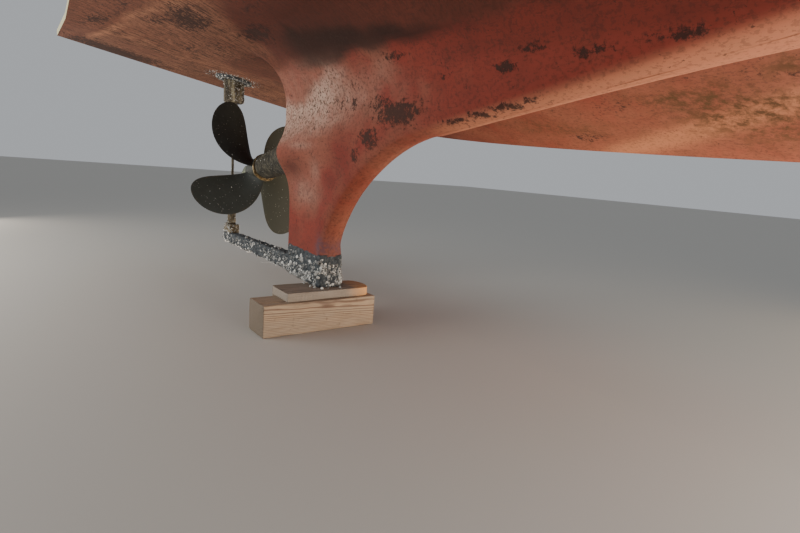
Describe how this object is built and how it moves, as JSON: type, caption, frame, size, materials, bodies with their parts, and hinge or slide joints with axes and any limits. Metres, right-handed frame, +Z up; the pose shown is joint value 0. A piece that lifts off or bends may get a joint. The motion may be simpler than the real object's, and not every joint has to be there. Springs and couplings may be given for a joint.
{
  "type": "boat propeller with skeg, shaft line and rudder",
  "caption": "Fixed-blade boat propeller on its shaft, with the skeg, heel bar, rudder and piece of hull that carry it, blocked up on timbers.",
  "frame": {"origin": "on the ground under the front timber, on the middle plane of the skeg", "axes": "+X forward along the boat, +Y to port, +Z up"},
  "size_m": [3.65, 1.79, 1.5087],
  "materials": {
    "timber": "sawn and weathered",
    "shoe_metal": "covered in barnacles",
    "red_paint": "chalky red antifouling",
    "fouled_bronze": "black-brown with marine growth",
    "bare_bronze": "scraped",
    "green_bronze": "verdigris",
    "shaft_steel": "turned",
    "bearing_rubber": "matt",
    "rudder_plate": "grown over"
  },
  "bodies": {
    "structure": {"front_timber": "timber", "rear_timber": "timber", "packing_plank": "timber", "skeg_shoe": "shoe_metal", "heel_bar": "shoe_metal", "heel_block": "shoe_metal", "heel_bush": "bearing_rubber", "skeg": "red_paint", "hull_bottom": "red_paint", "stern_tube": "bare_bronze", "bearing_rubber": "bearing_rubber", "bearing_housing": "fouled_bronze", "bearing_rim": "bare_bronze", "rudder_trunk": "fouled_bronze", "lower_stock_bush": "bearing_rubber", "upper_stock_bush": "bearing_rubber", "trunk_flange": "shoe_metal"},
    "shaft_line": {"propeller_shaft": "shaft_steel", "propeller": "fouled_bronze", "propeller_nut": "green_bronze", "lock_nut": "green_bronze", "cotter_pin": "shaft_steel"},
    "rudder": {"rudder_blade": "rudder_plate", "rudder_stock": "shaft_steel", "rudder_pintle": "fouled_bronze", "stock_bolt_1": "fouled_bronze", "stock_bolt_2": "fouled_bronze"}
  },
  "joints": [
    {"name": "propeller_spin", "type": "hinge", "parent": "structure", "child": "shaft_line", "pos_m": [-0.914, 0, 0.675], "axis": [0.9833, 0, 0.1822], "continuous": true},
    {"name": "rudder_swing", "type": "hinge", "parent": "structure", "child": "rudder", "pos_m": [-1.362, 0, 0.7], "axis": [0, 0, 1], "range_deg": [-15.8, 54.2]}
  ]
}
